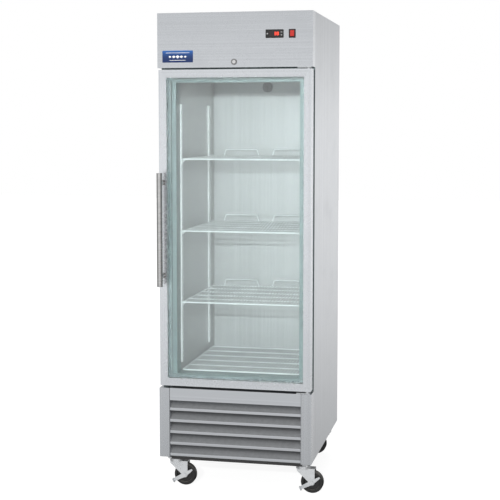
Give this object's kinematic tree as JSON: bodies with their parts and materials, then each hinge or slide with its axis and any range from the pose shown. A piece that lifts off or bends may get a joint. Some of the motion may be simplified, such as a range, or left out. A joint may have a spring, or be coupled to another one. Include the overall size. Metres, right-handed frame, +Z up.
{
  "type": "reach-in refrigerator",
  "caption": "Upright reach-in refrigerator on swivel casters: one glazed door with a long bar handle, wire shelves inside, control header above and a louvred machine base below.",
  "frame": {"origin": "middle of the footprint, on the floor under the casters", "axes": "+Z up, -Y out of the door (front), +Y the back, +X the hinge side, to the right seen from the front"},
  "size_m": [0.7596, 0.884, 2.0955],
  "materials": {
    "brushed_stainless": "satin",
    "polished_stainless": "polished",
    "lining_steel": "satin",
    "galvanised_sheet": "matte",
    "chassis_steel": "satin",
    "foam": "matte",
    "breaker_plastic": "satin",
    "badge": "gloss",
    "black_plastic": "satin",
    "display_window": "gloss",
    "key_plastic": "satin",
    "red_rocker": "gloss",
    "lock_chrome": "polished",
    "door_glass": "gloss",
    "spacer_aluminium": "satin",
    "gasket": "matte",
    "zinc_steel": "satin",
    "coil_aluminium": "matte",
    "duct_sheet": "satin",
    "fan_plastic": "satin",
    "motor_enamel": "satin",
    "compressor_enamel": "gloss",
    "copper_pipe": "satin",
    "shelf_wire": "gloss",
    "caster_rubber": "matte"
  },
  "bodies": {
    "cabinet": {"side_panels": "brushed_stainless", "end_panels": "galvanised_sheet", "back_panel": "galvanised_sheet", "foam_body": "foam", "inner_liner": "lining_steel", "front_frame": "breaker_plastic", "header_fascia": "brushed_stainless", "badge_plate": "badge", "controller_case": "black_plastic", "controller_window": "display_window", "rocker_bezel": "black_plastic", "lock_barrel": "lock_chrome", "base_frame": "chassis_steel", "front_posts": "brushed_stainless", "louvre_grille": "brushed_stainless", "hinge_brackets": "zinc_steel", "evaporator_coil": "coil_aluminium", "evaporator_cover": "lining_steel", "air_duct": "duct_sheet", "sensor_grille": "black_plastic", "fan_motors": "motor_enamel", "condenser_coil": "coil_aluminium", "condenser_shroud": "galvanised_sheet", "compressor": "compressor_enamel", "condensate_pan": "galvanised_sheet", "refrigerant_lines": "copper_pipe", "electrical_box": "galvanised_sheet", "cord_gland": "black_plastic", "pilasters": "lining_steel", "shelf_clips": "zinc_steel", "caster_plates": "zinc_steel", "caster_bolts": "zinc_steel", "shelf_lower": "shelf_wire", "shelf_middle": "shelf_wire", "shelf_top": "shelf_wire", "floor_rack": "shelf_wire"},
    "door": {"door_frame": "brushed_stainless", "door_panes": "door_glass", "glass_spacer": "spacer_aluminium", "door_gasket": "gasket", "handle_tube": "polished_stainless", "handle_standoffs": "polished_stainless"},
    "lock": {"lock_plug": "lock_chrome"},
    "rocker": {"rocker_switch": "red_rocker"},
    "set_key": {"key_set": "key_plastic"},
    "up_key": {"key_up": "key_plastic"},
    "down_key": {"key_down": "key_plastic"},
    "evaporator_fan": {"evaporator_fan": "fan_plastic"},
    "condenser_fan": {"condenser_fan": "fan_plastic"},
    "swivel_front_left": {"fork_front_left": "zinc_steel"},
    "roller_front_left": {"wheel_front_left": "caster_rubber"},
    "swivel_front_right": {"fork_front_right": "zinc_steel"},
    "roller_front_right": {"wheel_front_right": "caster_rubber"},
    "swivel_back_left": {"fork_back_left": "zinc_steel"},
    "roller_back_left": {"wheel_back_left": "caster_rubber"},
    "swivel_back_right": {"fork_back_right": "zinc_steel"},
    "roller_back_right": {"wheel_back_right": "caster_rubber"},
    "lever_front_left": {"brake_front_left": "zinc_steel"},
    "lever_front_right": {"brake_front_right": "zinc_steel"}
  },
  "joints": [
    {"name": "door_hinge", "type": "hinge", "parent": "cabinet", "child": "door", "pos_m": [0.31775, -0.3525, 1.16225], "axis": [0, 0, 1], "range_deg": [0, 120]},
    {"name": "lock_turn", "type": "hinge", "parent": "cabinet", "child": "lock", "pos_m": [0, -0.3765, 1.8845], "axis": [0, -1, 0], "range_deg": [0, 90]},
    {"name": "rocker_tilt", "type": "hinge", "parent": "cabinet", "child": "rocker", "pos_m": [0.25125, -0.3755, 2.0005], "axis": [1, 0, 0], "range_deg": [0, 16]},
    {"name": "set_key_press", "type": "slide", "parent": "cabinet", "child": "set_key", "axis": [0, 1, 0], "range_m": [0, 0.001], "stiffness_N_per_m": 400},
    {"name": "up_key_press", "type": "slide", "parent": "cabinet", "child": "up_key", "axis": [0, 1, 0], "range_m": [0, 0.001], "stiffness_N_per_m": 400},
    {"name": "down_key_press", "type": "slide", "parent": "cabinet", "child": "down_key", "axis": [0, 1, 0], "range_m": [0, 0.001], "stiffness_N_per_m": 400},
    {"name": "evaporator_fan_spin", "type": "hinge", "parent": "cabinet", "child": "evaporator_fan", "pos_m": [0, -0.1305, 1.849], "axis": [0, 0, 1], "continuous": true},
    {"name": "condenser_fan_spin", "type": "hinge", "parent": "cabinet", "child": "condenser_fan", "pos_m": [-0.07, -0.2275, 0.2595], "axis": [0, 1, 0], "continuous": true},
    {"name": "swivel_front_left", "type": "hinge", "parent": "cabinet", "child": "swivel_front_left", "pos_m": [-0.28875, -0.2765, 0.134], "axis": [0, 0, 1], "continuous": true},
    {"name": "roll_front_left", "type": "hinge", "parent": "swivel_front_left", "child": "roller_front_left", "pos_m": [-0.24775, -0.2765, 0.05], "axis": [0, 1, 0], "continuous": true},
    {"name": "brake_front_left", "type": "hinge", "parent": "swivel_front_left", "child": "lever_front_left", "pos_m": [-0.24775, -0.2765, 0.05], "axis": [0, -1, 0], "range_deg": [0, 16]},
    {"name": "swivel_front_right", "type": "hinge", "parent": "cabinet", "child": "swivel_front_right", "pos_m": [0.28875, -0.2765, 0.134], "axis": [0, 0, 1], "continuous": true},
    {"name": "roll_front_right", "type": "hinge", "parent": "swivel_front_right", "child": "roller_front_right", "pos_m": [0.32975, -0.2765, 0.05], "axis": [0, 1, 0], "continuous": true},
    {"name": "brake_front_right", "type": "hinge", "parent": "swivel_front_right", "child": "lever_front_right", "pos_m": [0.32975, -0.2765, 0.05], "axis": [0, -1, 0], "range_deg": [0, 16]},
    {"name": "swivel_back_left", "type": "hinge", "parent": "cabinet", "child": "swivel_back_left", "pos_m": [-0.28875, 0.358, 0.134], "axis": [0, 0, 1], "continuous": true},
    {"name": "roll_back_left", "type": "hinge", "parent": "swivel_back_left", "child": "roller_back_left", "pos_m": [-0.32975, 0.358, 0.05], "axis": [0, 1, 0], "continuous": true},
    {"name": "swivel_back_right", "type": "hinge", "parent": "cabinet", "child": "swivel_back_right", "pos_m": [0.28875, 0.358, 0.134], "axis": [0, 0, 1], "continuous": true},
    {"name": "roll_back_right", "type": "hinge", "parent": "swivel_back_right", "child": "roller_back_right", "pos_m": [0.24775, 0.358, 0.05], "axis": [0, 1, 0], "continuous": true}
  ]
}
